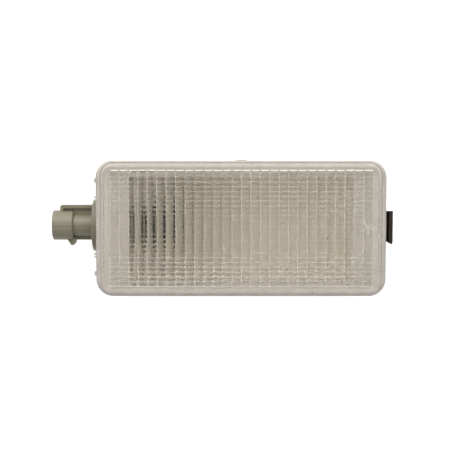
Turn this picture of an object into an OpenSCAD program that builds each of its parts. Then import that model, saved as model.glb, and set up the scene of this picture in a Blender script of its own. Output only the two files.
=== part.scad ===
// Car dome light: a fluted clear lens on a snap-in housing, with a twist-lock bulb holder and a spring clip.
// The lens faces +Z. The origin is the centre of the lens, in the plane where the flange meets the panel.
// The plug socket points to -X and the spring clip sits at +X.

/* [Lens] */
// Length of the lens
lens_l = 128; // [104:1:156]
// Width of the lens
lens_w = 60; // [49:1:74]
// Height of the smooth band above the panel
lens_h = 6; // [5.5:0.25:8]
// Corner radius seen from the front
lens_corner_r = 7.5; // [6:0.5:12]
// Rounding of the front edge
lens_edge_r = 2.6; // [1:0.2:3.4]
// Wall thickness of the rim
rim_t = 2; // [1.4:0.1:2.6]
// Thickness of the window under the flutes
window_t = 2.2; // [1.6:0.1:2.6]
// Pitch of the flutes on the outer face
outer_pitch = 4.146; // [3:0.1:5]
// Slope of an outer flute at its sides, in degrees
outer_slope = 67; // [35:1:72]
// Least distance from the lens end to the first outer flute
outer_margin = 5.9; // [5:0.1:9]
// Distance from the lens side to the ends of the outer flutes
outer_end_margin = 4; // [3.5:0.1:7]
// Pitch of the flutes on the inner face
inner_pitch = 2.087; // [1.8:0.1:3]
// Slope of an inner flute at its sides, in degrees
inner_slope = 27; // [15:1:40]
// Least distance from the lens side to the first inner flute
inner_margin = 4.8; // [4.2:0.1:7]
// Distance from the lens end to the ends of the inner flutes
inner_end_margin = 3.5; // [3.5:0.1:6]
// Width of the trimmed moulding gate on the rim
gate_w = 4.8; // [3:0.2:8]
// Height of the trimmed moulding gate
gate_h = 0.4; // [0.2:0.1:0.8]

/* [Housing] */
// Depth of the housing behind the panel
housing_depth = 28; // [27:0.5:36]
// Distance from a lens end to the lamp chamber
end_ledge = 14.5; // [13:0.5:18]
// Distance from a lens side to the lamp chamber
side_ledge = 6.4; // [5.6:0.2:9]
// Inside corner radius of the lamp chamber
chamber_r = 3; // [2.2:0.2:5]
// Wall thickness of the housing
wall_t = 1.6; // [1.2:0.1:2]
// Thickness of the flange behind the lens
ledge_t = 1.6; // [1:0.1:2]
// Distance of the flange edge inside the lens outline
ledge_inset = 0.2; // [0.1:0.1:0.6]
// Width of the rib that centres the lens
rib_w = 0.8; // [0.5:0.1:1.2]
// Gap between that rib and the lens
rib_play = 0.4; // [0.2:0.1:0.8]

/* [Panel hooks] */
// Thickness of the panel that the light snaps into
panel_t = 2.5; // [1.5:0.1:2.7]
// Play of the panel under the hooks
panel_play = 0.4; // [0.2:0.1:0.6]
// Reach of the hook noses past the lens
hook_reach = 1.6; // [0.6:0.1:2.5]
// Thickness of a hook rib
hook_t = 1.9; // [1.4:0.1:2.6]
// Distance of the outer hooks from the sides of the lens
outer_hook_margin = 9.1; // [8:0.1:9.5]
// Distance of the inner forked hooks from the middle
inner_hook_y = 12.7; // [12.6:0.1:15]
// Width of the fork in an inner hook
fork_w = 0.7; // [0.4:0.1:0.9]

/* [Bulb holder seat] */
// Distance of the bulb axis behind the panel plane
bulb_drop = 15; // [14.8:0.1:15.2]
// Outer radius of the boss that takes the bulb holder
boss_r = 11.6; // [11.2:0.1:11.8]
// Inner radius of the boss
boss_bore_r = 10.3; // [10:0.1:10.6]
// Length of the boss outside the chamber wall
boss_l = 12.3; // [11:0.1:13]
// Length of the locking ring at the mouth of the boss
lock_ring_l = 2; // [1.4:0.2:3]
// Inner radius of the locking ring
lock_ring_r = 8.6; // [8.5:0.05:9]

/* [Bulb holder] */
// Radius of the holder's flange
flange_r = 11.8; // [11.4:0.1:11.8]
// Thickness of the flange
flange_t = 2.5; // [1.4:0.1:3]
// Radius of the nose inside the boss
nose_r = 8.2; // [7.6:0.1:8.3]
// Length of the nose, which ends inside the lamp chamber
nose_l = 22; // [21:0.2:26]
// Radius of the cup around the foot of the bulb
cup_r = 6.6; // [6.2:0.1:6.8]
// Depth of the cup
cup_l = 6; // [4:0.2:8]
// Radius over the locking lugs
lug_r = 9.7; // [9.4:0.1:9.9]
// Length of a locking lug along the axis
lug_l = 2; // [1.4:0.2:3]
// Arc of a locking lug in degrees
lug_arc = 40; // [30:1:44]
// Twist that frees the holder, in degrees
twist = 45; // [45:1:50]
// Angular play of the lugs, in degrees
lug_play = 3; // [2:0.5:4]
// Play between a lug and the ring that holds it
lug_gap = 0.3; // [0.2:0.05:0.5]
// Radius of the neck
neck_r = 4.9; // [4.8:0.1:6]
// Length of the neck
neck_l = 9; // [7:0.2:12]
// Outer radius of the plug barrel
barrel_r = 6.76; // [6.4:0.1:7.2]
// Wall thickness of the plug barrel
barrel_t = 1.2; // [0.8:0.1:1.4]
// Length of the plug barrel
barrel_l = 9.4; // [8:0.2:12]
// Depth of the plug barrel
barrel_depth = 8.2; // [6:0.2:9]
// Distance of the finger wing's edge from the bulb axis
wing_reach = 9.2; // [8.8:0.1:10.5]
// Length of the finger wing
wing_l = 15.1; // [12:0.1:17]
// Thickness of the finger wing
wing_t = 3; // [2:0.1:4]
// Corner radius of the finger wing
wing_corner_r = 0.9; // [0.5:0.1:1.8]
// Width of the raised edge on the finger wing
bead_w = 1.4; // [1:0.1:1.8]
// Height of the raised edge on the finger wing
bead_h = 1.3; // [0.6:0.1:2]
// Height of the plug latch above the barrel
latch_h = 2.3; // [1:0.1:2.6]
// Width of the plug latch
latch_w = 3.6; // [2.4:0.2:5]

/* [Seal] */
// Thickness of the flange seal
seal_t = 0.9; // [0.6:0.1:1.4]
// Width of the flange seal
seal_w = 2.3; // [1.6:0.1:2.4]
// Gap between the seal and the boss
seal_gap = 0.1; // [0.05:0.05:0.3]

/* [Contacts] */
// Thickness of the contact strip
contact_t = 0.6; // [0.4:0.1:0.8]
// Width of a plug blade
blade_w = 2.8; // [2:0.1:3.2]
// Distance of a blade's middle from the bulb axis
blade_y = 3.6; // [3.4:0.05:3.7]
// Width of a contact finger at the bulb
finger_w = 5.4; // [5:0.1:5.8]
// Play of the contacts in the holder
contact_play = 0.05; // [0.03:0.01:0.1]

/* [Bulb] */
// Radius of the glass envelope
bulb_r = 5.15; // [4.6:0.05:5.4]
// Length of the bulb from wedge to tip
bulb_l = 26.7; // [24:0.1:28]
// Width of the glass wedge
wedge_w = 9.5; // [8.5:0.1:9.8]
// Thickness of the glass wedge
wedge_t = 2.1; // [1.8:0.05:2.2]
// Depth of the wedge in the holder
wedge_depth = 7.5; // [6:0.1:8]
// Wall thickness of the envelope
glass_t = 0.6; // [0.4:0.05:0.8]
// Play of the wedge in its slot
wedge_play = 0.2; // [0.1:0.05:0.3]
// Radius of a lead wire
lead_r = 0.25; // [0.2:0.01:0.28]
// Distance of a lead wire from the bulb axis
lead_z = 2.2; // [1.8:0.1:2.3]
// Distance of the filament from the tip of the bulb
filament_tip = 10; // [8:0.1:12]
// Radius of the filament coil
filament_r = 0.35; // [0.2:0.05:0.5]

/* [Spring clip] */
// Width of the spring strip
clip_w = 14; // [12:0.2:16]
// Thickness of the spring strip
clip_t = 0.6; // [0.4:0.05:0.8]
// Distance of the clip from the middle of the light
clip_y = -0.2; // [-2:0.2:2]
// Reach of the clip's shoulder past the lens
clip_reach = 4.4; // [3:0.1:4.4]
// Middle radius of the bend at the foot of the clip
clip_bend_r = 2.1; // [1.9:0.1:2.6]
// Distance of the bend behind the panel plane
clip_drop = 20.6; // [19:0.2:22]
// Lean of the free leg in degrees
clip_lean = 36; // [34:0.5:38]
// Middle radius of the shoulder bend
clip_shoulder_r = 1.5; // [1:0.1:2]
// Inward lean of the lip above the shoulder in degrees
lip_lean = 40; // [30:1:45]
// Length of the lip above the shoulder
lip_l = 2.6; // [1.5:0.1:2.8]
// Length of the tongue held in the housing
tongue_l = 4.5; // [3.5:0.1:5]
// Flare of the lower corner of the shoulder
ear_low = 0.9; // [0.4:0.1:1.4]
// Flare of the upper corner of the shoulder
ear_high = 0.3; // [0.2:0.1:1]
// Length of a flared corner along the leg
ear_l = 2.4; // [1.5:0.1:3]
// Play of the clip in its pocket
clip_play = 0.3; // [0.2:0.05:0.5]
// Thickness of the pocket's walls
pocket_t = 1.5; // [1:0.1:2]

/* [Hidden] */
$fn = 64;
sliver = 0.05;

// Lens
window_z = lens_h - window_t;
outer_flute_r = outer_pitch / 2 / sin(outer_slope);
outer_sag = outer_flute_r * (1 - cos(outer_slope));
outer_count = floor((lens_l - 2 * outer_margin) / outer_pitch);
outer_crest_z = lens_h + sliver + outer_sag;
outer_end_y = lens_w / 2 - outer_end_margin;
inner_flute_r = inner_pitch / 2 / sin(inner_slope);
inner_sag = inner_flute_r * (1 - cos(inner_slope));
inner_count = floor((lens_w - 2 * inner_margin) / inner_pitch);
inner_crest_z = window_z - sliver - inner_sag;
inner_end_x = lens_l / 2 - inner_end_margin;

// Housing
ledge_l = lens_l - 2 * ledge_inset;
ledge_w = lens_w - 2 * ledge_inset;
ledge_r = lens_corner_r - ledge_inset;
rib_l = lens_l - 2 * rim_t - 2 * rib_play;
rib_side = lens_w - 2 * rim_t - 2 * rib_play;
rib_r = lens_corner_r - rim_t - rib_play;
chamber_l = lens_l - 2 * end_ledge;
chamber_w = lens_w - 2 * side_ledge;
wall_x = chamber_l / 2 + wall_t;
wall_y = chamber_w / 2 + wall_t;
outer_hook_y = lens_w / 2 - outer_hook_margin;
axis_z = -bulb_drop;
mouth_x = -wall_x - boss_l;
ring_x = mouth_x + lock_ring_l;
cutout_x = lens_l / 2 - rim_t;
hook_z = -panel_t - panel_play;
hook_x = -lens_l / 2 - hook_reach;

// Bulb holder
flange_x = mouth_x - seal_gap - seal_t;
nose_x = flange_x + nose_l;
seat_x = nose_x - cup_l;
lug_x = ring_x + lug_gap;
neck_x = flange_x - flange_t;
barrel_x = neck_x - neck_l;
barrel_end_x = barrel_x - barrel_l;
socket_r = barrel_r - barrel_t;
socket_x = barrel_end_x + barrel_depth;

// Contacts and bulb
wedge_x = seat_x - wedge_depth;
pocket_x = wedge_x - 2 * lead_r - 4 * contact_play;
finger_y = wedge_t / 2 + 2 * lead_r + 2 * contact_play;
blade_in_y = blade_y - contact_t / 2;
step_x = pocket_x - contact_t - 2 * contact_play;
tip_x = wedge_x + bulb_l;
dome_x = tip_x - bulb_r;
filament_x = tip_x - filament_tip;
fold_y = wedge_t / 2 + lead_r + contact_play / 2;

// Spring clip
pocket_in = tongue_l * sin(26);
clip_x = wall_x + pocket_in + clip_play + clip_t / 2 + clip_bend_r;
clip_z = -clip_drop;
lip_x = clip_x - clip_bend_r + clip_t / 2 + clip_play;
shoulder_x = lens_l / 2 + clip_reach - clip_t / 2 - clip_shoulder_r;
leg_start = [clip_x + clip_bend_r * cos(clip_lean), clip_z - clip_bend_r * sin(clip_lean)];
leg_l = (shoulder_x + clip_shoulder_r * cos(clip_lean) - leg_start.x) / sin(clip_lean);
shoulder_z = leg_start.y + leg_l * cos(clip_lean) + clip_shoulder_r * sin(clip_lean);
leg_end = [shoulder_x + clip_shoulder_r * cos(clip_lean), shoulder_z - clip_shoulder_r * sin(clip_lean)];
lip_start = [shoulder_x + clip_shoulder_r * cos(lip_lean), shoulder_z + clip_shoulder_r * sin(lip_lean)];

function arc(c, r, a0, a1, n) = [
    for (i = [0:n]) c + r * [cos(a0 + (a1 - a0) * i / n), sin(a0 + (a1 - a0) * i / n)]
];
function unit(v) = v / norm(v);
function side(p, i) =
    let (a = p[max(i - 1, 0)], b = p[min(i + 1, len(p) - 1)], d = unit(b - a)) [-d.y, d.x];
function strip(p, t) = concat(
    [for (i = [0:len(p) - 1]) p[i] + side(p, i) * t / 2],
    [for (i = [len(p) - 1:-1:0]) p[i] - side(p, i) * t / 2]
);

clip_path = concat(
    [[clip_x - clip_bend_r, clip_z + tongue_l]],
    arc([clip_x, clip_z], clip_bend_r, 180, 360 - clip_lean, 12),
    arc([shoulder_x, shoulder_z], clip_shoulder_r, -clip_lean, lip_lean, 6),
    [lip_start + lip_l * [-sin(lip_lean), cos(lip_lean)]]
);

// Flat rectangle with round corners, centred on the origin
module rounded_rect(l, w, r) {
    square([l - 2 * r, w], center = true);
    square([l, w - 2 * r], center = true);
    for (x = [-1, 1], y = [-1, 1])
        translate([x * (l / 2 - r), y * (w / 2 - r)]) circle(r);
}

// Section from the middle of a corner to its rounded upper edge
module edge_profile(r, h, edge) {
    square([r - edge, h]);
    square([r, h - edge]);
    translate([r - edge, h - edge])
        intersection() {
            circle(edge);
            square(edge);
        }
}

// Box with round corners and a rounded upper edge, standing on its underside
module soft_box(l, w, h, r, edge) {
    in_x = l / 2 - r;
    in_y = w / 2 - r;
    translate([-in_x, -in_y, 0]) cube([2 * in_x, 2 * in_y, h]);
    for (s = [0, 1]) mirror([s, 0, 0]) {
        translate([in_x, in_y, 0])
            rotate([90, 0, 0])
                linear_extrude(2 * in_y) edge_profile(r, h, edge);
        translate([in_x, in_y, 0]) rotate_extrude(angle = 90) edge_profile(r, h, edge);
        translate([in_x, -in_y, 0]) rotate([0, 0, -90]) rotate_extrude(angle = 90) edge_profile(r, h, edge);
    }
    for (s = [0, 1]) mirror([0, s, 0])
        translate([-in_x, in_y, 0])
            rotate([90, 0, 90])
                linear_extrude(2 * in_x) edge_profile(r, h, edge);
}

// Carries a shape drawn along Z onto the bulb axis, with its Z along +X
module on_axis(x) {
    translate([x, 0, axis_z]) rotate([0, 90, 0]) children();
}

// Round bar on the bulb axis between two places along X
module rod(x0, x1, r) {
    on_axis(x0) cylinder(h = x1 - x0, r = r);
}

// Sector of a ring on the bulb axis, centred on an angle from -Z towards +Y
module sector(x0, x1, r0, r1, middle, arc_deg) {
    on_axis(x0)
        rotate([0, 0, middle - arc_deg / 2])
            rotate_extrude(angle = arc_deg)
                translate([r0, 0]) square([r1 - r0, x1 - x0]);
}

// Outline of the flutes, a row of arcs with their crests at y = 0
module flute_row(count, pitch, r, depth) {
    intersection() {
        for (i = [0:count - 1])
            translate([(i - (count - 1) / 2) * pitch, -r]) circle(r);
        translate([-count * pitch / 2, -depth]) square([count * pitch, depth + r]);
    }
}

// Long bar with both ends bevelled by 45 degrees, wider below
module bevelled_bar(half_l, w, depth) {
    rotate([90, 0, 90])
        translate([0, 0, -w / 2])
            linear_extrude(w)
                polygon([
                    [-half_l - depth, -depth],
                    [half_l + depth, -depth],
                    [half_l - depth, depth],
                    [depth - half_l, depth]
                ]);
}

module outer_flutes() {
    intersection() {
        translate([0, lens_w / 2, outer_crest_z])
            rotate([90, 0, 0])
                linear_extrude(lens_w)
                    flute_row(outer_count, outer_pitch, outer_flute_r, outer_sag + window_t / 2);
        translate([0, 0, lens_h]) bevelled_bar(outer_end_y, lens_l, window_t);
    }
}

module inner_flutes() {
    intersection() {
        translate([-lens_l / 2, 0, inner_crest_z])
            rotate([90, 0, 90])
                linear_extrude(lens_l)
                    mirror([0, 1]) flute_row(inner_count, inner_pitch, inner_flute_r, inner_sag + window_t / 2);
        translate([0, 0, window_z])
            rotate([0, 180, 90]) bevelled_bar(inner_end_x, lens_w, window_t);
        linear_extrude(lens_h)
            rounded_rect(
                rib_l - 2 * rib_w - rib_play,
                rib_side - 2 * rib_w - rib_play,
                rib_r - rib_w
            );
    }
}

module lens() {
    color([0.93, 0.93, 0.9, 0.55]) {
        difference() {
            translate([0, 0, ledge_t]) soft_box(lens_l, lens_w, lens_h - ledge_t, lens_corner_r, lens_edge_r);
            linear_extrude(window_z)
                    rounded_rect(lens_l - 2 * rim_t, lens_w - 2 * rim_t, lens_corner_r - rim_t);
        }
        outer_flutes();
        inner_flutes();
        translate([-gate_w / 2, lens_w / 2 - rim_t / 2, ledge_t])
            cube([gate_w, rim_t / 2 + gate_h, lens_h / 4]);
    }
}

// Rib in the XZ plane that hooks behind the panel edge
module hook(y, fork) {
    nose_h = 1.5 * hook_t;
    difference() {
        translate([0, y + hook_t / 2, 0])
            rotate([90, 0, 0])
                linear_extrude(hook_t) {
                    polygon([
                        [-wall_x + wall_t / 2, ledge_t / 2],
                        [-cutout_x + panel_play, ledge_t / 2],
                        [-cutout_x + panel_play, hook_z],
                        [hook_x + hook_t / 2, hook_z],
                        [hook_x, hook_z - hook_t / 2],
                        [hook_x, hook_z - hook_t],
                        [hook_x + nose_h, hook_z - hook_t - nose_h / 2],
                        [-wall_x + wall_t / 2, hook_z - hook_t - 2.4 * nose_h]
                    ]);
                }
        if (fork)
            translate([hook_x - 1, y - fork_w / 2, hook_z - 3 * hook_t])
                cube([hook_reach + rim_t, fork_w, 4 * hook_t]);
    }
}

// Pocket on the chamber's end wall that holds the tongue of the spring clip
module clip_pocket() {
    inner_w = clip_w + 2 * clip_play;
    roof_z = clip_z + tongue_l + clip_play;
    foot_z = clip_z + clip_bend_r / 2;
    difference() {
        translate([wall_x - wall_t / 2, clip_y - inner_w / 2 - pocket_t, foot_z])
            cube([lip_x + pocket_t - wall_x + wall_t / 2, inner_w + 2 * pocket_t, roof_z + pocket_t - foot_z]);
        translate([wall_x, clip_y - inner_w / 2, foot_z - 1])
            cube([lip_x - wall_x, inner_w, roof_z - foot_z + 1]);
    }
}

module housing_shell() {
    difference() {
        union() {
            linear_extrude(ledge_t) rounded_rect(ledge_l, ledge_w, ledge_r);
            translate([0, 0, ledge_t / 2])
                rotate([180, 0, 0])
                    soft_box(2 * wall_x, 2 * wall_y, ledge_t / 2 + housing_depth, chamber_r + wall_t, wall_t + 0.8);
            rod(mouth_x, -wall_x + wall_t / 2, boss_r);
            for (y = [-1, 1]) {
                hook(y * outer_hook_y, false);
                hook(y * inner_hook_y, true);
            }
            clip_pocket();
        }
        translate([0, 0, ledge_t + 1])
            rotate([180, 0, 0])
                soft_box(chamber_l, chamber_w, ledge_t + 1 + housing_depth - wall_t, chamber_r, 0.8);
        rod(ring_x, -wall_x + wall_t + 1, boss_bore_r);
        rod(mouth_x - 1, ring_x + 1, lock_ring_r);
        for (a = [0, 180])
            sector(mouth_x - 1, ring_x + 1, lock_ring_r - 1, boss_bore_r, a + twist, lug_arc + 2 * lug_play);
    }
}

module housing() {
    stop_deg = lug_arc / 2 + lug_play;
    stop_in_r = (lock_ring_r + lug_r) / 2;
    color([0.73, 0.7, 0.66]) {
        housing_shell();
        // rib that centres the lens
        translate([0, 0, ledge_t / 2])
            linear_extrude(window_z - rib_play - ledge_t / 2)
                difference() {
                    rounded_rect(rib_l, rib_side, rib_r);
                    rounded_rect(rib_l - 2 * rib_w, rib_side - 2 * rib_w, rib_r - rib_w);
                }
        // stops at both ends of the twist
        for (a = [0, 180], end = [-stop_deg - 3, stop_deg + twist + 3])
            sector(ring_x - 0.5, lug_x + lug_l, stop_in_r, (boss_bore_r + boss_r) / 2, a + end, 6);
    }
}

// Outline of the finger wing, from the bulb axis outwards
module wing_outline() {
    wing_x = neck_x - wing_l;
    translate([wing_x, 0]) square([wing_l, wing_reach - wing_corner_r]);
    translate([wing_x + wing_corner_r, 0]) square([wing_l - wing_corner_r, wing_reach]);
    translate([wing_x + wing_corner_r, wing_reach - wing_corner_r]) circle(wing_corner_r);
}

// Finger wing beside the neck, with a raised edge along its free sides
module wing() {
    translate([0, 0, axis_z - wing_t / 2 - 1]) {
        difference() {
            union() {
                linear_extrude(wing_t) wing_outline();
                linear_extrude(wing_t + bead_h)
                    difference() {
                        wing_outline();
                        translate([bead_w, -bead_w]) wing_outline();
                    }
            }
            translate([neck_x - wing_l - 1, -1, -1]) cube([wing_l + 2, neck_r, wing_t + bead_h + 2]);
        }
    }
}

// Plug latch on the lower side of the barrel, drawn towards -Y
module latch() {
    translate([barrel_x, -barrel_r, axis_z - latch_w / 2])
        linear_extrude(latch_w)
            polygon([
                [latch_h * 0.4, 1],
                [latch_h * 0.4, -latch_h * 0.5],
                [0, -latch_h * 0.95],
                [-latch_h * 0.1, -latch_h],
                [-latch_h * 0.5, -latch_h],
                [-latch_h * 1.2, 0],
                [-latch_h * 1.2, 1]
            ]);
}

module bulb_holder() {
    chamfer = 0.4;
    web_w = 2.4;
    color([0.52, 0.5, 0.44])
        difference() {
            union() {
                on_axis(0)
                    rotate_extrude()
                        polygon([
                            [0, barrel_end_x],
                            [barrel_r - chamfer, barrel_end_x],
                            [barrel_r, barrel_end_x + chamfer],
                            [barrel_r, barrel_x - chamfer],
                            [barrel_r - chamfer, barrel_x],
                            [neck_r, barrel_x],
                            [neck_r, neck_x],
                            [flange_r - chamfer, neck_x],
                            [flange_r, neck_x + chamfer],
                            [flange_r, flange_x],
                            [nose_r, flange_x],
                            [nose_r, nose_x - 1.5 * chamfer],
                            [nose_r - 1.5 * chamfer, nose_x],
                            [0, nose_x]
                        ]);
                for (a = [0, 180])
                    sector(lug_x, lug_x + lug_l, nose_r - 1, lug_r, a, lug_arc);
                wing();
                latch();
                // rib under the neck, as deep as the barrel
                translate([barrel_x - 1, -barrel_r, axis_z - web_w - 0.4])
                    cube([neck_x - barrel_x + 2, barrel_r - 1, web_w]);
            }
            rod(barrel_end_x - 1, socket_x, socket_r);
            rod(seat_x, nose_x + 1, cup_r);
            // slots for the contact strips
            for (s = [-1, 1])
                translate([socket_x - 1, s * blade_y - contact_t / 2 - contact_play, axis_z - blade_w / 2 - contact_play])
                    cube([pocket_x - socket_x + 2, contact_t + 2 * contact_play, blade_w + 2 * contact_play]);
            // pocket for the contact fingers
            translate([step_x - contact_play, -blade_y - contact_t / 2 - contact_play, axis_z - finger_w / 2 - 4 * contact_play])
                cube([
                    seat_x - step_x + 1,
                    2 * (blade_y + contact_t / 2 + contact_play),
                    finger_w + 8 * contact_play
                ]);
            // slot for the glass wedge
            translate([pocket_x, -wedge_t / 2 - wedge_play, axis_z - wedge_w / 2 - wedge_play])
                cube([seat_x - pocket_x + 1, wedge_t + 2 * wedge_play, wedge_w + 2 * wedge_play]);
        }
}

module flange_seal() {
    seal_r = flange_r - 0.4;
    color([0.16, 0.16, 0.16])
        on_axis(flange_x)
            difference() {
                cylinder(h = seal_t, r = seal_r);
                translate([0, 0, -1]) cylinder(h = seal_t + 2, r = seal_r - seal_w);
            }
}

// Contact strip: a plug blade, a step in the nose and a finger on the bulb's wedge
module contact() {
    color([0.78, 0.7, 0.48])
        translate([0, 0, axis_z]) {
            translate([barrel_end_x + 1, blade_in_y, -blade_w / 2])
                cube([step_x + contact_t - barrel_end_x - 1, contact_t, blade_w]);
            translate([step_x, finger_y, -finger_w / 2])
                cube([contact_t, blade_in_y + contact_t - finger_y, finger_w]);
            translate([step_x, finger_y, -finger_w / 2])
                cube([seat_x - 1 - step_x, contact_t, finger_w]);
        }
}

module contact_upper() {
    contact();
}

module contact_lower() {
    mirror([0, 1, 0]) contact();
}

// Lead wires: up the inside of the envelope and folded back over the wedge
module bulb_leads() {
    color([0.6, 0.6, 0.58])
        for (s = [-1, 1])
            translate([0, 0, axis_z + s * lead_z]) {
                translate([wedge_x - lead_r - contact_play, 0, 0])
                    rotate([0, 90, 0]) cylinder(h = filament_x + 2 * lead_r - wedge_x, r = lead_r);
                translate([wedge_x - lead_r - contact_play, s * fold_y, 0])
                    rotate([0, 90, 0]) cylinder(h = wedge_depth / 2, r = lead_r);
                translate([wedge_x - lead_r - contact_play, min(0, s * fold_y), 0])
                    rotate([-90, 0, 0]) cylinder(h = fold_y, r = lead_r);
                for (y = [0, s * fold_y])
                    translate([wedge_x - lead_r - contact_play, y, 0]) sphere(lead_r);
            }
}

module bulb_filament() {
    color([0.5, 0.5, 0.52])
        translate([filament_x, 0, axis_z - lead_z + lead_r])
            cylinder(h = 2 * (lead_z - lead_r), r = filament_r);
}

module bulb_glass() {
    shoulder_l = 2.2;
    pinch_x = seat_x + contact_play + shoulder_l + 1;
    color([0.85, 0.9, 0.92, 0.4])
        difference() {
            union() {
                translate([wedge_x, -wedge_t / 2, axis_z - wedge_w / 2])
                    cube([seat_x + shoulder_l - wedge_x, wedge_t, wedge_w]);
                on_axis(seat_x + contact_play) cylinder(h = shoulder_l, r1 = bulb_r - 1.2, r2 = bulb_r);
                rod(seat_x + contact_play + shoulder_l, dome_x, bulb_r);
                translate([dome_x, 0, axis_z]) sphere(bulb_r);
            }
            rod(pinch_x, dome_x, bulb_r - glass_t);
            translate([dome_x, 0, axis_z]) sphere(bulb_r - glass_t);
            for (s = [-1, 1])
                translate([wedge_x - 1, 0, axis_z + s * lead_z])
                    rotate([0, 90, 0]) cylinder(h = pinch_x - wedge_x + 2, r = lead_r);
        }
}

module spring_clip() {
    ear_t = clip_t - 2 * sliver;
    color([0.13, 0.12, 0.11]) {
        translate([0, clip_y + clip_w / 2, 0])
            rotate([90, 0, 0])
                linear_extrude(clip_w) polygon(strip(clip_path, clip_t));
        // flared corners, in the plane of the leg
        for (ear = [[-1, ear_low], [1, ear_high]])
            translate([leg_end.x, clip_y + ear[0] * clip_w / 2, leg_end.y])
                rotate([0, clip_lean, 0])
                    rotate([90, 0, 90])
                        translate([0, 0, -ear_t / 2])
                            linear_extrude(ear_t)
                                polygon([
                                    [-ear[0] * clip_t, clip_t / 2],
                                    [ear[0] * ear[1], clip_t],
                                    [0, -ear_l],
                                    [-ear[0] * clip_t, -ear_l]
                                ]);
    }
}

lens();
housing();
bulb_holder();
flange_seal();
contact_upper();
contact_lower();
bulb_glass();
bulb_leads();
bulb_filament();
spring_clip();
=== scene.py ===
import bpy
import bmesh
import math
from mathutils import Matrix, Vector


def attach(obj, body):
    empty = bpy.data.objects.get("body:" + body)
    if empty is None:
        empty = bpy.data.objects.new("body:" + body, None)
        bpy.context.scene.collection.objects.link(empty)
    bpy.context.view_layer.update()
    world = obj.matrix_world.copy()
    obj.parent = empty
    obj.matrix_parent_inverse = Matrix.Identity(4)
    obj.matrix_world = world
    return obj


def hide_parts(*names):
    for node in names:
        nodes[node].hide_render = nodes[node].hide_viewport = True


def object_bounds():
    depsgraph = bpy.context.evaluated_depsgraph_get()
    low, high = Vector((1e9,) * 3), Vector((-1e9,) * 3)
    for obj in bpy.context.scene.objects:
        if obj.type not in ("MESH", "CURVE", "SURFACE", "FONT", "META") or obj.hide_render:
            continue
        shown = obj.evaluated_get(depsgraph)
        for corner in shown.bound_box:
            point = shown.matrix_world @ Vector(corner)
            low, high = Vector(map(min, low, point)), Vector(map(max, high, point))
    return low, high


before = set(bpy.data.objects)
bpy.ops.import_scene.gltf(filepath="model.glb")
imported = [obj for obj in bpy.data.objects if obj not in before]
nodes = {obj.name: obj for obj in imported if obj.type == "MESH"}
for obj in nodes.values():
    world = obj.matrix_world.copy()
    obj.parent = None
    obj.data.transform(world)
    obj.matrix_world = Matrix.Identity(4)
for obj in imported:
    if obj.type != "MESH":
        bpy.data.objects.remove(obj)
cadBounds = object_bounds()
mm = 0.001
print("frame loaded")


class Wire:
    # a node socket that can be used in plain arithmetic
    def __init__(self, tree, socket):
        self.tree = tree
        self.socket = socket

    def math(self, operation, *others, flip=False):
        node = self.tree.nodes.new("ShaderNodeMath")
        node.operation = operation
        values = [self, *others]
        if flip:
            values.reverse()
        for place, value in enumerate(values):
            if isinstance(value, Wire):
                self.tree.links.new(value.socket, node.inputs[place])
            else:
                node.inputs[place].default_value = value
        return Wire(self.tree, node.outputs[0])

    def __add__(self, other):
        return self.math("ADD", other)

    def __radd__(self, other):
        return self.math("ADD", other, flip=True)

    def __sub__(self, other):
        return self.math("SUBTRACT", other)

    def __rsub__(self, other):
        return self.math("SUBTRACT", other, flip=True)

    def __mul__(self, other):
        return self.math("MULTIPLY", other)

    def __rmul__(self, other):
        return self.math("MULTIPLY", other, flip=True)

    def __truediv__(self, other):
        return self.math("DIVIDE", other)

    def __rtruediv__(self, other):
        return self.math("DIVIDE", other, flip=True)

    def __pow__(self, other):
        return self.math("POWER", other)

    def __gt__(self, other):
        return self.math("GREATER_THAN", other)

    def __lt__(self, other):
        return self.math("LESS_THAN", other)

    def __abs__(self):
        return self.math("ABSOLUTE")

    def most(self, other):
        return self.math("MAXIMUM", other)

    def least(self, other):
        return self.math("MINIMUM", other)

    def sine(self):
        return self.math("SINE")


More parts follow.
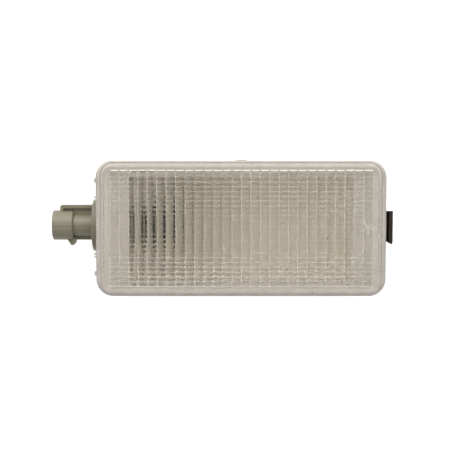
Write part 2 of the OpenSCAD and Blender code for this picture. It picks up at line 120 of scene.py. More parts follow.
class Finish:
    # the nodes of one material, or of the world
    def __init__(self, name, world=None):
        self.owner = world or bpy.data.materials.new(name)
        self.owner.use_nodes = True
        self.tree = self.owner.node_tree
        self.tree.nodes.clear()
        kind = "OutputWorld" if world else "OutputMaterial"
        self.output = self.tree.nodes.new("ShaderNode" + kind)

    def node(self, kind, settings=None, inputs=None, out=0):
        node = self.tree.nodes.new("ShaderNode" + kind)
        for key, value in (settings or {}).items():
            setattr(node, key, value)
        for key, value in (inputs or {}).items():
            if isinstance(value, Wire):
                self.tree.links.new(value.socket, node.inputs[key])
            else:
                node.inputs[key].default_value = value
        return Wire(self.tree, node.outputs[out])

    def place(self, kind="Object"):
        return self.node("TexCoord", out=kind)

    def path(self, kind):
        return self.node("LightPath", out=kind)

    def axes(self, names="XYZ", kind="Object"):
        where = self.place(kind)
        return [self.node("SeparateXYZ", {}, {0: where}, out=name) for name in names]

    def noise(self, scale, detail, stretch=(1, 1, 1)):
        where = self.node("Mapping", {}, {"Vector": self.place(), "Scale": stretch})
        return self.node("TexNoise", {}, {"Vector": where, "Scale": scale, "Detail": detail})

    def step(self, value, low, high, outLow=0.0, outHigh=1.0):
        # runs smoothly from outLow to outHigh while the value runs from low to high
        inputs = {"Value": value, "From Min": low, "From Max": high, "To Min": outLow, "To Max": outHigh}
        return self.node("MapRange", {"interpolation_type": "SMOOTHSTEP"}, inputs)

    def fade(self, value, low, high):
        # 1 up to low, 0 from high on
        return self.step(value, low, high, 1.0, 0.0)

    def line(self, away, full, gone):
        # the same on both sides of a line
        return self.fade(abs(away), full, gone)

    def vary(self, cloud, span, middle, spread):
        # the middle value, with up to that share of it less or more
        return self.step(cloud, *span, middle * (1 - spread), middle * (1 + spread))

    def tint(self, factor, first, second):
        # in a Mix node for colours, socket 0 is the factor, 6 and 7 are the colours and 2 is the result
        return self.node("Mix", {"data_type": "RGBA"}, {0: factor, 6: first, 7: second}, out=2)

    def bump(self, height, strength, distance):
        return self.node("Bump", {}, {"Height": height, "Strength": strength, "Distance": distance})

    def blend(self, factor, first, second):
        return self.node("MixShader", {}, {0: factor, 1: first, 2: second})

    def inside(self, x, y, halfLength, halfWidth, radius):
        # distance inside a rectangle with round corners
        overX = abs(x) - (halfLength - radius)
        overY = abs(y) - (halfWidth - radius)
        corner = (overX.most(0.0) ** 2 + overY.most(0.0) ** 2) ** 0.5
        return radius - corner - overX.most(overY).least(0.0)

    def done(self, surface):
        self.tree.links.new(surface.socket, self.output.inputs["Surface"])
        return self.owner


def rgb(red, green, blue):
    # a colour as it is read off a screen, turned into light values
    parts = [part / 255 for part in (red, green, blue)]
    light = [part / 12.92 if part < 0.04045 else ((part + 0.055) / 1.055) ** 2.4 for part in parts]
    return (*light, 1)


def dress(piece, material):
    piece.data.materials.clear()
    piece.data.materials.append(material)


def dressNode(name, material):
    piece = nodes[name]
    if not piece.material_slots:
        piece.data.materials.append(material)
    for place in piece.material_slots:
        place.material = material


def finishMesh(mesh, name, sharpAngle=30):
    # smooth shading, apart from level faces and from edges that turn by sharpAngle degrees or more
    levelFrom = 0.9999
    for face in mesh.faces:
        face.smooth = abs(face.normal.z) < levelFrom
    for edge in mesh.edges:
        if len(edge.link_faces) == 2:
            edge.smooth = edge.calc_face_angle() < math.radians(sharpAngle)
    data = bpy.data.meshes.new(name)
    mesh.to_mesh(data)
    mesh.free()
    piece = bpy.data.objects.new(name, data)
    bpy.context.scene.collection.objects.link(piece)
    return piece


cameraPlan = {
    "target": (-7.06 * mm, 1.3 * mm, 0.0),
    "distance": 523 * mm,
    "tilt": 5.0,  # degrees towards +Y
    "widthAtTarget": 199.7 * mm,
    "near": 0.01,
    "far": 20,
}


def makeCamera(plan):
    data = bpy.data.cameras.new("camera")
    camera = bpy.data.objects.new("camera", data)
    bpy.context.scene.collection.objects.link(camera)
    tilt = math.radians(plan["tilt"])
    away = Vector((0, math.sin(tilt), math.cos(tilt))) * plan["distance"]
    camera.location = Vector(plan["target"]) + away
    camera.rotation_euler = (-tilt, 0, 0)
    data.sensor_fit = "HORIZONTAL"
    data.angle = 2 * math.atan(plan["widthAtTarget"] / 2 / plan["distance"])
    data.clip_start = plan["near"]
    data.clip_end = plan["far"]
    bpy.context.scene.camera = camera


makeCamera(cameraPlan)
print("camera placed")

studioPlan = {
    "white": (1, 1, 1, 1),
    "black": (0, 0, 0, 1),
    "floorSize": 4.0,
    "floorGap": 0.05 * mm,
    "floorColour": (0.86, 0.86, 0.86, 1),
    "floorGlow": 0.72,
    "worldLight": 0.38,
    "backdropLight": 1.0,
    # light that reaches the chamber through the lens: mostly from the sides and from above the picture
    "chamberLight": 2.16,
    "chamberFocus": 1.28,
    "chamberSlope": 0.7,
    "chamberLeast": 0.1,
    "lamps": [
        # name, place, aims at, width, height, watts
        ("keyLamp", (-0.12, 1.15, 0.8), (0, 0, 0), 1.4, 1.1, 20.0),
        ("fillLamp", (0.5, -0.9, 1.3), (0, 0, 0), 1.0, 1.0, 2.0),
    ],
}


def makeFloor(plan):
    mesh = bmesh.new()
    bmesh.ops.create_grid(mesh, x_segments=1, y_segments=1, size=plan["floorSize"] / 2)
    level = cadBounds[0][2] - plan["floorGap"]
    bmesh.ops.translate(mesh, verts=mesh.verts, vec=(0, 0, level))
    floor = finishMesh(mesh, "floor")
    paper = Finish("paperFloor")
    matt = paper.node("BsdfDiffuse", {}, {"Color": plan["floorColour"]})
    glow = paper.node("Emission", {}, {"Color": plan["white"], "Strength": plan["floorGlow"]})
    dark = paper.node("Emission", {}, {"Color": plan["black"], "Strength": 0.0})
    # the floor glows only where it is looked at, straight, in a reflection or through the lens
    seen = paper.path("Is Camera Ray").most(paper.path("Is Glossy Ray"))
    shown = paper.blend(seen.most(paper.path("Is Transmission Ray")), dark, glow)
    dress(floor, paper.done(paper.node("AddShader", {}, {0: matt, 1: shown})))


def makeWorld(plan):
    world = bpy.data.worlds.new("studio")
    bpy.context.scene.world = world
    sky = Finish("studio", world)
    upward, outward = sky.axes("YZ", "Generated")
    level = plan["chamberLight"] - plan["chamberFocus"] * outward + plan["chamberSlope"] * upward
    level = level.most(plan["chamberLeast"])

    def light(strength):
        return sky.node("Background", {}, {"Color": plan["white"], "Strength": strength})

    through = sky.path("Is Transmission Ray")
    straight = sky.path("Diffuse Depth") < 0.5  # no bounce off a matt surface yet
    lit = sky.blend(through, light(plan["worldLight"]), light(level))
    seen = sky.path("Is Camera Ray").most(sky.path("Is Glossy Ray").most(through) * straight)
    sky.done(sky.blend(seen, lit, light(plan["backdropLight"])))


def makeLamps(plan):
    for name, place, aim, width, height, watts in plan["lamps"]:
        data = bpy.data.lights.new(name, "AREA")
        data.shape = "RECTANGLE"
        data.size = width
        data.size_y = height
        data.energy = watts
        lamp = bpy.data.objects.new(name, data)
        lamp.location = place
        turn = (Vector(aim) - Vector(place)).to_track_quat("-Z", "Y")
        lamp.rotation_euler = turn.to_euler()
        lamp.visible_transmission = False
        bpy.context.scene.collection.objects.link(lamp)


makeFloor(studioPlan)
makeWorld(studioPlan)
makeLamps(studioPlan)
bpy.context.scene.view_settings.view_transform = "Standard"
print("studio lit")

lensPlan = {
    "length": 128 * mm,
    "width": 60 * mm,
    "seat": 1.62 * mm,  # just above the flange that the rim stands on
    "height": 6 * mm,
    "cornerRadius": 7.5 * mm,
    "edgeRadius": 2.6 * mm,
    "rim": 2 * mm,
    "window": 2.2 * mm,
    "outerPitch": 4.12 * mm,
    "outerShift": 0.15 * mm,  # the flutes sit a touch off centre
    "outerSlope": 60,  # degrees at the sides of a flute
    "outerValley": 0.4 * mm,  # rounding between two flutes
    "outerCount": 28,
    "outerEnd": 26.05 * mm,
    "outerSooner": 1.0 * mm,  # the lower ends stop this much sooner
    "innerPitch": 2.087 * mm,
    "innerShift": 0.0,
    "innerSlope": 27,
    "innerValley": 0.12 * mm,
    "innerCount": 24,
    "innerEnd": 60.45 * mm,
    "innerSooner": 0.0,
    "leastBevel": 0.02 * mm,  # keeps the points of a bevel apart where a flute has no height
    "stepsAcross": 16,  # faces over one flute
    "cornerSteps": 16,
    "edgeSteps": 8,
    "gateWidth": 4.8 * mm,
    "gateTall": 1.5 * mm,
    "gateHeight": 0.4 * mm,  # how far it stands out of the wall
    # how near to each other points, places and directions count as the same
    "weld": 1e-7,
    "samePlace": 1e-6,
    "sameWay": 1e-4,
    "sharpAngle": 28,
}


def fluteRise(offset, pitch, slope, valley):
    # height over the valley at a distance from the crest: an arc that runs out into a rounded valley
    steep = math.radians(slope)
    radius = pitch / 2 / math.sin(steep) - valley
    away = min(abs(offset), pitch / 2)
    full = (radius + valley) * (1 - math.cos(steep))
    if away < radius * math.sin(steep):
        return full - radius + math.sqrt(radius ** 2 - away ** 2)
    return valley - math.sqrt(valley ** 2 - (pitch / 2 - away) ** 2)


def fluteSheet(mesh, plan, side, level, up, alongX):
    # a grid bent into a row of round flutes, with both ends of each flute bevelled by 45 degrees
    parts = ("Count", "Pitch", "Slope", "Valley", "Shift", "End", "Sooner")
    count, pitch, slope, valley, shift, end, sooner = (plan[side + part] for part in parts)
    steps = plan["stepsAcross"]
    # four rows of points along the flutes: the two feet, and the tops of the two bevels
    made = bmesh.ops.create_grid(mesh, x_segments=count * steps, y_segments=3, size=1)
    for vert in made["verts"]:
        place = round((vert.co.x + 1) / 2 * count * steps)
        flute, step = divmod(place, steps)
        # steps follow the slope, so that the rounded valleys get their share
        offset = math.sin(math.pi * (step / steps - 0.5)) * pitch / 2
        across = (flute + 0.5 - count / 2) * pitch + offset + shift
        rise = fluteRise(offset, pitch, slope, valley)
        along = end if vert.co.y > 0 else end - sooner
        if round(abs(vert.co.y)) == 1:
            rise = 0.0
        else:
            along -= max(rise, plan["leastBevel"])
        along = math.copysign(along, vert.co.y)
        vert.co = (across, along, level + up * rise) if alongX else (along, across, level + up * rise)
    return made["verts"]


def outlineFace(mesh, plan):
    # a flat face with round corners
    made = bmesh.ops.create_grid(mesh, x_segments=1, y_segments=1, size=0.5)
    bmesh.ops.scale(mesh, verts=made["verts"], vec=(plan["length"], plan["width"], 1))
    bmesh.ops.translate(mesh, verts=made["verts"], vec=(0, 0, plan["seat"]))
    bmesh.ops.bevel(mesh, geom=made["verts"], offset=plan["cornerRadius"], offset_type="OFFSET",
                    segments=plan["cornerSteps"], profile=0.5, affect="VERTICES", clamp_overlap=False,
                    material=-1)
    return max(mesh.faces, key=lambda face: len(face.verts))


def insetFace(mesh, face, thickness):
    bmesh.ops.inset_region(mesh, faces=[face], thickness=thickness, depth=0, use_even_offset=True,
                           use_boundary=True)


def newest(made, kind):
    # what an extrusion has made, of one kind
    return [item for item in made["geom"] if isinstance(item, kind)]


def lensShell(mesh, plan):
    # outside: walls, then the rounded edge in small insets, up to the flat band
    base = outlineFace(mesh, plan)
    made = bmesh.ops.extrude_face_region(mesh, geom=[base], use_keep_orig=True)
    top = newest(made, bmesh.types.BMFace)[0]
    wallTop = plan["height"] - plan["edgeRadius"]
    bmesh.ops.translate(mesh, verts=top.verts, vec=(0, 0, wallTop - plan["seat"]))
    turns = plan["edgeSteps"]
    for turn in range(turns):
        before, after = (math.pi / 2 * (turn + k) / turns for k in (0, 1))
        insetFace(mesh, top, plan["edgeRadius"] * (math.cos(before) - math.cos(after)))
        upward = plan["edgeRadius"] * (math.sin(after) - math.sin(before))
        bmesh.ops.translate(mesh, verts=top.verts, vec=(0, 0, upward))
    # inside: the rim's width, then straight up to the ceiling
    insetFace(mesh, base, plan["rim"])
    made = bmesh.ops.extrude_face_region(mesh, geom=[base], use_keep_orig=False)
    ceiling = newest(made, bmesh.types.BMFace)[0]
    if base.is_valid:
        bmesh.ops.delete(mesh, geom=[base], context="FACES_ONLY")
    ceilingAt = plan["height"] - plan["window"]
    bmesh.ops.translate(mesh, verts=ceiling.verts, vec=(0, 0, ceilingAt - plan["seat"]))
    return top, ceiling


def addFlutes(mesh, flat, plan, side, level, up, alongX):
    # a flat is opened and closed again around its flutes
    ring = list(flat.edges)
    bmesh.ops.delete(mesh, geom=[flat], context="FACES_ONLY")
    verts = fluteSheet(mesh, plan, side, level, up, alongX)
    border = [edge for vert in verts for edge in vert.link_edges if edge.is_boundary]
    bmesh.ops.triangle_fill(mesh, use_beauty=True, edges=ring + list(dict.fromkeys(border)))


def addGate(mesh, plan):
    # trimmed gate on the upper wall
    wallAt = plan["width"] / 2
    half, high = plan["gateWidth"] / 2, plan["seat"] + plan["gateTall"]

    def onWall(face):
        away = face.calc_center_median().y - wallAt
        return abs(face.normal.y - 1) < plan["sameWay"] and abs(away) < plan["samePlace"]

    cuts = (((-half, 0, 0), (1, 0, 0)), ((half, 0, 0), (1, 0, 0)), ((0, 0, high), (0, 0, 1)))
    for place, across in cuts:
        walls = [face for face in mesh.faces if onWall(face)]
        edges = [edge for face in walls for edge in face.edges]
        verts = [vert for face in walls for vert in face.verts]
        geom = list(dict.fromkeys(walls + edges + verts))
        bmesh.ops.bisect_plane(mesh, geom=geom, plane_co=place, plane_no=across)

    def inGate(face):
        middle = face.calc_center_median()
        return onWall(face) and abs(middle.x) < half and middle.z < high

    gate = [face for face in mesh.faces if inGate(face)]
    made = bmesh.ops.extrude_face_region(mesh, geom=gate, use_keep_orig=False)
    moved = newest(made, bmesh.types.BMVert)
    bmesh.ops.translate(mesh, verts=moved, vec=(0, plan["gateHeight"], 0))
    left = [face for face in gate if face.is_valid]
    if left:
        bmesh.ops.delete(mesh, geom=left, context="FACES_ONLY")


def makeLens(plan):
    mesh = bmesh.new()
    top, ceiling = lensShell(mesh, plan)
    addFlutes(mesh, top, plan, "outer", plan["height"], 1, True)
    addFlutes(mesh, ceiling, plan, "inner", plan["height"] - plan["window"], -1, False)
    bmesh.ops.remove_doubles(mesh, verts=mesh.verts, dist=plan["weld"])
    bmesh.ops.recalc_face_normals(mesh, faces=mesh.faces)
    addGate(mesh, plan)
    bmesh.ops.recalc_face_normals(mesh, faces=mesh.faces)
    return finishMesh(mesh, "flutedLens", plan["sharpAngle"])


lens = makeLens(lensPlan)
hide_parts("lens")
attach(lens, "light")
print("lens made", len(lens.data.polygons), "faces")

# a pair of lengths for a line is where it is full and where it is gone, away from its middle
clearPlan = {
    "colour": (0.97, 0.965, 0.945, 1),
    "gloss": (0.22, 0.22, 0.22, 1),
    "ior": 1.55,
    "roughness": 0.004,
    "roughSpread": 0.5,
    "fineNoise": (900, 3),  # scale and detail
    "fineSpan": (0.35, 0.75),
    "cloud": (220, 4),
    "cloudSpan": (0.3, 0.8),
    "milk": rgb(237, 230, 222),
    "hazeShare": 0.012,
    "hazeSpread": 0.3,
    "topAt": 5.9 * mm,  # the outer face lies above this
    "shellAt": 3.9 * mm,  # the outer skin lies above this, or near the outline
    "shellDeep": 1.9 * mm,
    "columnArea": (58.3 * mm, 26.1 * mm),  # half length and half width that hold the outer flutes
    "rowArea": (60.5 * mm, 25.1 * mm),  # and the inner ones
    # milky rim, because the moulding is thick there, with painted light added on the edge rounding and
    # along the lower side
    "rimShare": 0.4,
    "rimSpread": 0.1,
    "rimWide": (3.5 * mm, 4 * mm),
    "endBand": (57.9 * mm, 58.3 * mm),  # flat bands at both ends
    "rounding": (2.3 * mm, 2.9 * mm),  # painted light makes it milkiest on the edge rounding
    "roundingLight": 1.45,
    "lowSide": (-26.4 * mm, -25.4 * mm),  # and painted light along the lower side
    "lowSideLight": 1.22,
    # painted highlight: milky line at the foot of each outer flute
    "valleyWidth": 0.45 * mm,
    "valleyHighlightShare": 0.42,
    "calmAt": -16 * mm,  # around here those lines hardly show
    "calmReach": (6 * mm, 18 * mm),
    "calmShare": 0.45,
    # painted highlights: fine lines across, over the inner flutes
    "rowWidth": 0.45 * mm,
    "rowHighlightShare": 0.04,
    "lowRowHighlightShare": 0.3,  # they show best low down, where the wall of the chamber is behind them
    "lowPart": (-13 * mm, -9 * mm),
    "crossShare": 0.5,  # low down, where they cross the feet of the outer flutes
    # painted glints higher up, where the two sets of flutes cross
    "glintShare": 0.6,
    "dotWidth": 0.5 * mm,
    "dotsPerColumn": 3,
    "dotPart": (-2 * mm, 14 * mm),
    # painted highlight on the bevelled ends of the outer flutes: there the distance from the middle and
    # the height add up to this
    "bevelSum": (31.9 * mm, 32 * mm),
    "bevelHighlightShare": 0.95,
    "bevelFoot": 0.5 * mm,
    "bevelEdge": 0.1 * mm,
    "lowEndReach": 58 * mm,
    "lowEndIn": 0.2 * mm,
    "lowEndEdge": (0.2 * mm, 0.45 * mm),
    # painted highlight line around the flat: half length, half width and corner
    "highlightLine": (61 * mm, 28.5 * mm, 4.9 * mm),
    "highlightLineEdge": (0.05 * mm, 0.25 * mm),
    "highlightLineShare": 0.42,
    "highlightLineFade": (-26 * mm, -20 * mm),  # it is weak along the lower side
    "highlightLineLeast": 0.15,
    "highlightLineCorner": 0.45,  # how much more it shows at the two upper corners
    "cornerX": (54 * mm, 57 * mm),
    "cornerY": (20 * mm, 24 * mm),
    # painted shade: a clearer, darker line just outside it
    "clearLineOut": 0.6 * mm,
    "clearLineEdge": (0.1 * mm, 0.35 * mm),
    "clearLineShare": 0.75,
    # painted shade: broken dark line inside the two short ends
    "darkDashAt": 60.55 * mm,
    "darkDashEdge": (0.1 * mm, 0.25 * mm),
    "darkDashReach": 20 * mm,
    "darkDashGap": 0.7 * mm,
    "darkDashShare": 0.85,
    # star of fine scratches of uneven length
    "scuff": (55.7 * mm, 0.4 * mm),
    "scuffReach": 4.8 * mm,
    "scuffShare": 0.95,
    "scuffRays": 9,
    "scuffBends": (4, 1.6),  # how often the rays stray around the star, and how far
    "scuffLength": (0.62, 0.38),  # middle length and how much it varies, as shares of the reach
    "scuffWaves": (3, 1.3, 7),  # slow wave, its start, and fast wave of those lengths
    "scuffThin": (0.3, 0.85),
    "scuffFade": (0.6, 1.0),
    # darker band where the wall turns into the edge rounding
    "soil": rgb(92, 66, 48),
    "soilShare": 0.7,
    "edgeBandAt": 3.8 * mm,
    "edgeBandDeep": 1 * mm,
    "edgeBandEdge": (0.5 * mm, 1.1 * mm),
    "edgeBandShare": 0.38,
    "speckAbove": 3.95 * mm,
    "speckEdge": (0.7, 1.3),  # in half lengths of the speck
    "specks": [
        # x, y, length, width, turn in degrees
        (-58.1 * mm, -11.3 * mm, 1.5 * mm, 0.25 * mm, 96),
        (-52.7 * mm, -6.9 * mm, 0.6 * mm, 0.35 * mm, 30),
        (38.0 * mm, -3.8 * mm, 1.6 * mm, 0.3 * mm, 62),
        (28.2 * mm, -16.1 * mm, 0.5 * mm, 0.4 * mm, 0),
        (20.3 * mm, -17.6 * mm, 0.5 * mm, 0.35 * mm, 20),
        (9.4 * mm, -23.4 * mm, 0.7 * mm, 0.4 * mm, 10),
        (37.2 * mm, 21.7 * mm, 0.7 * mm, 0.3 * mm, 45),
        (31.5 * mm, -28.4 * mm, 0.8 * mm, 0.4 * mm, 0),
        (4.5 * mm, 28.3 * mm, 0.8 * mm, 0.3 * mm, 0),
        (-46.0 * mm, -28.2 * mm, 0.4 * mm, 0.3 * mm, 0),
    ],
}


def fluteLines(skin, along, side, width, parts=1):
    # 1 on the lines between the flutes, 0 on the flutes, which may be cut into parts first
    pitch = lensPlan[side + "Pitch"] / parts
    count = lensPlan[side + "Count"] * parts
    phase = ((along + count * pitch / 2) / pitch).math("FRACT")
    away = 0.5 - abs(phase - 0.5)
    return skin.fade(away, 0.0, width / pitch)


def within(x, y, area):
    return (abs(x) < area[0]) * (abs(y) < area[1])


def paintedFluteHighlights(skin, plan, x, y, onTop):
    # painted highlights: lines along the feet of the outer flutes and across the inner ones, and glints
    # where they cross
    column = x - lensPlan["outerShift"]
    feet = onTop * within(x, y, plan["columnArea"])
    feet = feet * fluteLines(skin, column, "outer", plan["valleyWidth"])
    rows = onTop * within(x, y, plan["rowArea"]) * fluteLines(skin, y, "inner", plan["rowWidth"])
    low = skin.fade(y, *plan["lowPart"])
    lowRows = rows * low
    calm = skin.step(abs(x - plan["calmAt"]), *plan["calmReach"], plan["calmShare"], 1.0)
    dots = fluteLines(skin, column, "outer", plan["dotWidth"], plan["dotsPerColumn"])
    dots = rows * dots * skin.step(y, *plan["dotPart"]) + lowRows * feet * plan["crossShare"]
    marks = feet * low.most(calm) * plan["valleyHighlightShare"]
    return marks + rows * plan["rowHighlightShare"] + lowRows * plan["lowRowHighlightShare"] + dots * plan["glintShare"]


def fluteEndHighlights(skin, plan, x, y, z, onTop):
    # painted highlights on the bevelled ends of the outer flutes
    footAt = lensPlan["outerEnd"] - plan["bevelFoot"]
    foot = skin.step(abs(y), footAt - plan["bevelEdge"], footAt + plan["bevelEdge"])
    bevel = onTop * within(x, y, plan["columnArea"]) * skin.step(abs(y) + z, *plan["bevelSum"]) * foot
    # the lower ends stop sooner and get a painted highlight line of their own
    lowFoot = lensPlan["outerSooner"] - lensPlan["outerEnd"] - plan["lowEndIn"]
    lowEnd = onTop * (abs(x) < plan["lowEndReach"]) * skin.line(y - lowFoot, *plan["lowEndEdge"])
    return (bevel * plan["bevelHighlightShare"]).most(lowEnd)


def scuffStar(skin, plan, x, y, onTop):
    aside, ahead = x - plan["scuff"][0], y - plan["scuff"][1]
    reach = (aside ** 2 + ahead ** 2) ** 0.5
    angle = ahead.math("ARCTAN2", aside)
    bends, stray = plan["scuffBends"]
    rays = (angle * plan["scuffRays"] + (angle * bends).sine() * stray).sine()
    slow, start, fast = plan["scuffWaves"]
    middle, spread = plan["scuffLength"]
    length = middle + spread * (angle * slow + start).sine() * (angle * fast).sine()
    length = plan["scuffReach"] * length
    return onTop * skin.step(rays, *plan["scuffThin"]) * skin.fade(reach / length, *plan["scuffFade"])


def rimMilkAndLight(skin, plan, x, y, inward, shell, onTop):
    rim = skin.fade(inward, *plan["rimWide"])
    rim = shell * rim.most(skin.step(abs(x), *plan["endBand"]) * onTop)
    # painted light: more milk on the edge rounding and along the lower side
    rim = rim * skin.step(inward, *plan["rounding"], plan["roundingLight"], 1.0)
    return rim * skin.step(y, *plan["lowSide"], plan["lowSideLight"], 1.0)


def highlightAndClearLine(skin, plan, x, y, shell):
    # painted highlight line around the flat, stronger at the two upper corners, and a painted darker
    # line just outside it
    fromHighlightLine = skin.inside(x, y, *plan["highlightLine"])
    upper = skin.step(y, *plan["highlightLineFade"], plan["highlightLineLeast"], 1.0)
    corners = skin.step(abs(x), *plan["cornerX"]) * skin.step(y, *plan["cornerY"])
    highlightLine = shell * upper * skin.line(fromHighlightLine, *plan["highlightLineEdge"])
    clearLine = upper * skin.line(fromHighlightLine + plan["clearLineOut"], *plan["clearLineEdge"])
    return highlightLine * (plan["highlightLineShare"] + corners * plan["highlightLineCorner"]), clearLine


def dirtShare(skin, plan, x, y, z, inward):
    edgeBand = (inward < plan["edgeBandDeep"]) * skin.line(z - plan["edgeBandAt"], *plan["edgeBandEdge"])
    dirt = edgeBand * plan["edgeBandShare"]
    above = z > plan["speckAbove"]
    for atX, atY, long, wide, turn in plan["specks"]:
        cosine, sine = math.cos(math.radians(turn)), math.sin(math.radians(turn))
        along = (x - atX) * cosine + (y - atY) * sine
        aside = (y - atY) * cosine - (x - atX) * sine
        off = ((along / (long / 2)) ** 2 + (aside / (wide / 2)) ** 2) ** 0.5
        dirt = dirt.most(above * skin.fade(off, *plan["speckEdge"]))
    return dirt


def makeClear(plan):
    skin = Finish("clearPlastic")
    x, y, z = skin.axes()
    inward = skin.inside(x, y, lensPlan["length"] / 2, lensPlan["width"] / 2, lensPlan["cornerRadius"])
    onTop = z > plan["topAt"]
    shell = (z > plan["shellAt"]).most(inward < plan["shellDeep"])
    cloud = skin.noise(*plan["cloud"])
    highlightLine, clearLine = highlightAndClearLine(skin, plan, x, y, shell)
    # painted shade: broken dark line inside the two short ends
    darkDashes = onTop * (abs(y) < plan["darkDashReach"]) * skin.line(abs(x) - plan["darkDashAt"], *plan["darkDashEdge"])
    darkDashes = darkDashes * (1 - fluteLines(skin, y, "inner", plan["darkDashGap"]))

    share = skin.vary(cloud, plan["cloudSpan"], plan["hazeShare"], plan["hazeSpread"])
    share = share + paintedFluteHighlights(skin, plan, x, y, onTop)
    share = share + scuffStar(skin, plan, x, y, onTop) * plan["scuffShare"]
    rim = rimMilkAndLight(skin, plan, x, y, inward, shell, onTop)
    share = share.most(rim * skin.vary(cloud, plan["cloudSpan"], plan["rimShare"], plan["rimSpread"]))
    share = share * (1 - darkDashes * plan["darkDashShare"]) * (1 - clearLine * plan["clearLineShare"])
    share = share.most(highlightLine).most(fluteEndHighlights(skin, plan, x, y, z, onTop))

    fine = skin.noise(*plan["fineNoise"])
    body = skin.node("BsdfPrincipled", {}, {
        "Base Color": plan["colour"],
        "Transmission Weight": 1.0,
        "IOR": plan["ior"],
        "Roughness": skin.vary(fine, plan["fineSpan"], plan["roughness"], plan["roughSpread"]),
        "Specular Tint": plan["gloss"],
    })
    milk = skin.node("BsdfDiffuse", {}, {"Color": plan["milk"]})
    soil = skin.node("BsdfDiffuse", {}, {"Color": plan["soil"]})
    dirt = dirtShare(skin, plan, x, y, z, inward)
    return skin.done(skin.blend(dirt * plan["soilShare"], skin.blend(share, body, milk), soil))


dress(lens, makeClear(clearPlan))

mouldPlan = {
    "cloud": (60, 4),  # scale and detail
    "cloudSpan": (0.3, 0.7),
    "grain": (2600, 2),
    "grainBump": (0.12, 0.05 * mm),
    "roughLess": 0.05,
    "roughMore": 0.06,
    # black for painted shade in the bore, in the cup and around the nose
    "paintedShadeBlack": (0.006, 0.005, 0.004, 1),
    "bulbAxis": -15 * mm,
    "wallFace": -49.7 * mm,  # where the boss opens into the chamber
    "shownFrom": -64 * mm,  # from here to the left the holder shows beside the lens
}

housingPlan = {
    "light": rgb(222, 215, 202),
    "dark": rgb(215, 208, 194),
    "litChamber": rgb(248, 242, 230),  # painted light: the chamber, lighter and yellower
    "floor": rgb(238, 231, 216),
    "shadedFloorEnd": rgb(198, 189, 167),  # painted shade: its floor, darker next to the bulb
    "shadedOutside": rgb(198, 191, 179),  # painted shade: the outside, darker and greyer
    "roughness": 0.5,
    "wallTop": (-1.5 * mm, 0.5 * mm),
    "floorRise": (-27 * mm, -24 * mm),
    "floorRun": (-50 * mm, 42 * mm),
    "midWall": (50.3 * mm, 24.4 * mm, 3.8 * mm),  # runs inside the walls of the chamber
    "bottom": -27.2 * mm,  # below this is the outside of the floor
    "shadedOutsideTo": 0.05 * mm,  # the flange, above this, keeps its colour
    # painted shade: the bore around the holder is darkened almost to black
    "boreRadius": 10.4 * mm,
    "boreShare": 0.95,
}

holderPlan = {
    "light": rgb(136, 130, 110),
    "dark": rgb(126, 120, 99),
    "noseTone": rgb(148, 137, 104),  # the nose, inside the chamber, lighter and yellower
    "parting": rgb(98, 92, 74),
    "roughness": 0.45,
    "partingEdge": (0.08 * mm, 0.22 * mm),
    "partingShare": 0.7,
    "noseRadius": 8.0 * mm,
    "rootEnd": -48.7 * mm,  # painted shade: dark ring where the nose leaves the boss
    "tip": (-44.6 * mm, -44.2 * mm),  # painted shade blackens the tip
    "cup": (-50 * mm, -49 * mm),
    "cupRadius": 6.7 * mm,
    "paintedShadeShare": 0.97,
}


def housingColour(skin, plan, colour, x, y, z):
    # painted light and shade: the chamber is lighter and yellower, its floor darker towards the bulb,
    # and the outside darker and greyer
    colour = skin.tint(skin.fade(z, *plan["wallTop"]), colour, plan["litChamber"])
    # painted shade: the floor darkens towards the bulb end
    floor = skin.tint(skin.step(x, *plan["floorRun"]), plan["shadedFloorEnd"], plan["floor"])
    colour = skin.tint(skin.fade(z, *plan["floorRise"]), colour, floor)
    # painted shade: outside the chamber and below the flange the moulding is darker and greyer
    inChamber = (skin.inside(x, y, *plan["midWall"]) > 0.0) * (z > plan["bottom"])
    return skin.tint(inChamber.most(z > plan["shadedOutsideTo"]), plan["shadedOutside"], colour)


def housingPaintedShade(skin, plan, x, away):
    # painted shade in the bore, left of the chamber wall
    return (x < mouldPlan["wallFace"]) * (away < plan["boreRadius"]) * plan["boreShare"]


def holderColour(skin, plan, colour, x, y, z):
    colour = skin.tint(x > mouldPlan["wallFace"], colour, plan["noseTone"])
    # the two halves of the mould have left a line
    parting = (x < mouldPlan["shownFrom"]) * skin.line(y, *plan["partingEdge"])
    return skin.tint(parting * plan["partingShare"], colour, plan["parting"])


def holderPaintedShade(skin, plan, x, away):
    # painted shade: black inside the cup, at the tip and in the ring where the nose leaves the boss
    cup = skin.step(x, *plan["cup"]) * (away < plan["cupRadius"])
    gap = (x < plan["rootEnd"]) * (x > mouldPlan["shownFrom"]) * (away > plan["noseRadius"])
    return cup.most(gap).most(skin.step(x, *plan["tip"])) * plan["paintedShadeShare"]


def makeMoulded(name, plan, recolour, paintShade):
    # away is the distance from the axis of the bulb
    skin = Finish(name)
    x, y, z = skin.axes()
    away = (y ** 2 + (z - mouldPlan["bulbAxis"]) ** 2) ** 0.5
    cloud = skin.noise(*mouldPlan["cloud"])
    span = mouldPlan["cloudSpan"]
    colour = skin.tint(skin.step(cloud, *span), plan["dark"], plan["light"])
    smooth = plan["roughness"] - mouldPlan["roughLess"]
    coarse = plan["roughness"] + mouldPlan["roughMore"]
    body = skin.node("BsdfPrincipled", {}, {
        "Base Color": recolour(skin, plan, colour, x, y, z),
        "Roughness": skin.step(cloud, *span, smooth, coarse),
        "Normal": skin.bump(skin.noise(*mouldPlan["grain"]), *mouldPlan["grainBump"]),
    })
    paintedShadeBlack = skin.node("BsdfDiffuse", {}, {"Color": mouldPlan["paintedShadeBlack"]})  # painted shade, black with no shine at all
    return skin.done(skin.blend(paintShade(skin, plan, x, away), body, paintedShadeBlack))


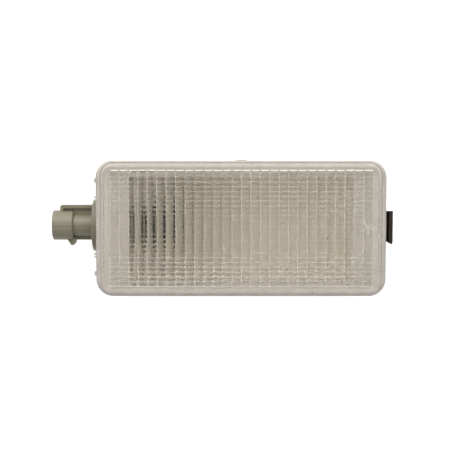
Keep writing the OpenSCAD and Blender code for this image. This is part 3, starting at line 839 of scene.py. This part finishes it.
dressNode("housing", makeMoulded("housingPlastic", housingPlan, housingColour, housingPaintedShade))
dressNode("bulb_holder", makeMoulded("holderPlastic", holderPlan, holderColour, holderPaintedShade))

rubberPlan = {
    "clean": (0.012, 0.012, 0.012, 1),
    "dusty": (0.05, 0.048, 0.044, 1),
    "dust": (400, 5),  # scale and detail
    "dustSpan": (0.45, 0.8),
    "roughSpan": (0.3, 0.8),
    "roughness": (0.6, 0.85),
}


def makeRubber(plan):
    skin = Finish("sealRubber")
    dust = skin.noise(*plan["dust"])
    colour = skin.tint(skin.step(dust, *plan["dustSpan"]), plan["clean"], plan["dusty"])
    rough = skin.step(dust, *plan["roughSpan"], *plan["roughness"])
    return skin.done(skin.node("BsdfPrincipled", {}, {"Base Color": colour, "Roughness": rough}))


dressNode("flange_seal", makeRubber(rubberPlan))

metalPlan = {
    "streaks": (300, 3, (0.15, 1, 1)),  # scale, detail and stretch
    "span": (0.3, 0.75),
    "bump": (0.1, 0.02 * mm),
    "roughLess": 0.8,
    "roughMore": 1.3,
    # light and dark colour, roughness, metal and shine
    "tinnedBrass": ((0.75, 0.66, 0.42, 1), (0.6, 0.5, 0.3, 1), 0.3, 1.0, 0.5),
    "leadWire": ((0.62, 0.6, 0.57, 1), (0.42, 0.4, 0.38, 1), 0.35, 1.0, 0.5),
    "tungsten": ((0.4, 0.4, 0.42, 1), (0.25, 0.25, 0.27, 1), 0.4, 1.0, 0.5),
    "blackSteel": ((0.024, 0.015, 0.009, 1), (0.008, 0.005, 0.003, 1), 0.5, 0.0, 0.08),
}


def makeMetal(name, plan):
    light, dark, roughness, metal, shine = plan[name]
    skin = Finish(name)
    streaks = skin.noise(*plan["streaks"])
    smooth, coarse = roughness * plan["roughLess"], roughness * plan["roughMore"]
    return skin.done(skin.node("BsdfPrincipled", {}, {
        "Base Color": skin.tint(skin.step(streaks, *plan["span"]), dark, light),
        "Roughness": skin.step(streaks, *plan["span"], smooth, coarse),
        "Metallic": metal,
        "Normal": skin.bump(streaks, *plan["bump"]),
        "Specular IOR Level": shine,
    }))


tinned = makeMetal("tinnedBrass", metalPlan)
dressNode("contact_upper", tinned)
dressNode("contact_lower", tinned)
dressNode("bulb_leads", makeMetal("leadWire", metalPlan))
dressNode("bulb_filament", makeMetal("tungsten", metalPlan))
dressNode("spring_clip", makeMetal("blackSteel", metalPlan))

glassPlan = {
    "clear": (0.98, 0.99, 0.99, 1),
    "greyFoot": (0.4, 0.38, 0.35, 1),
    "greyFootEnd": (-44 * mm, -42 * mm),
    "ior": 1.25,
    "haze": (500, 3),  # scale and detail
    "hazeSpan": (0.3, 0.8),
    "roughness": (0.0, 0.03),
}


def makeGlass(plan):
    skin = Finish("bulbGlass")
    x = skin.axes("X")[0]
    # the glass is grey towards its foot, inside the cup
    colour = skin.tint(skin.fade(x, *plan["greyFootEnd"]), plan["clear"], plan["greyFoot"])
    rough = skin.step(skin.noise(*plan["haze"]), *plan["hazeSpan"], *plan["roughness"])
    inputs = {"Base Color": colour, "Transmission Weight": 1.0, "IOR": plan["ior"], "Roughness": rough}
    return skin.done(skin.node("BsdfPrincipled", {}, inputs))


dressNode("bulb_glass", makeGlass(glassPlan))
print("finishes made")

filamentPlan = {
    "at": (-39.2 * mm, 0.0, -15 * mm),
    "long": 3.9 * mm,
    "coilRadius": 0.27 * mm,
    "wireRadius": 0.08 * mm,
    "wireSides": 6,
    "turns": 12,
    "stepsPerTurn": 12,
    "sharpAngle": 60,
}


def makeFilament(plan):
    mesh = bmesh.new()
    bmesh.ops.create_circle(mesh, cap_ends=False, segments=plan["wireSides"], radius=plan["wireRadius"])
    upright = Matrix.Rotation(math.pi / 2, 3, "X")
    bmesh.ops.rotate(mesh, verts=mesh.verts, cent=(0, 0, 0), matrix=upright)
    x, y, z = plan["at"]
    start = z - plan["long"] / 2 + plan["wireRadius"]
    bmesh.ops.translate(mesh, verts=mesh.verts, vec=(x + plan["coilRadius"], y, start))
    steps = plan["turns"] * plan["stepsPerTurn"]
    rise = (plan["long"] - 2 * plan["wireRadius"]) / steps
    bmesh.ops.spin(mesh, geom=list(mesh.verts) + list(mesh.edges), cent=(x, y, start), axis=(0, 0, 1),
                   dvec=(0, 0, rise), angle=2 * math.pi * plan["turns"], steps=steps, use_merge=False)
    openEnds = [edge for edge in mesh.edges if edge.is_boundary]
    bmesh.ops.holes_fill(mesh, edges=openEnds, sides=plan["wireSides"])
    bmesh.ops.recalc_face_normals(mesh, faces=mesh.faces)
    return finishMesh(mesh, "filamentCoil", plan["sharpAngle"])


filament = makeFilament(filamentPlan)
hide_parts("bulb_filament")
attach(filament, "holder")
dress(filament, nodes["bulb_filament"].material_slots[0].material)
print("filament wound")
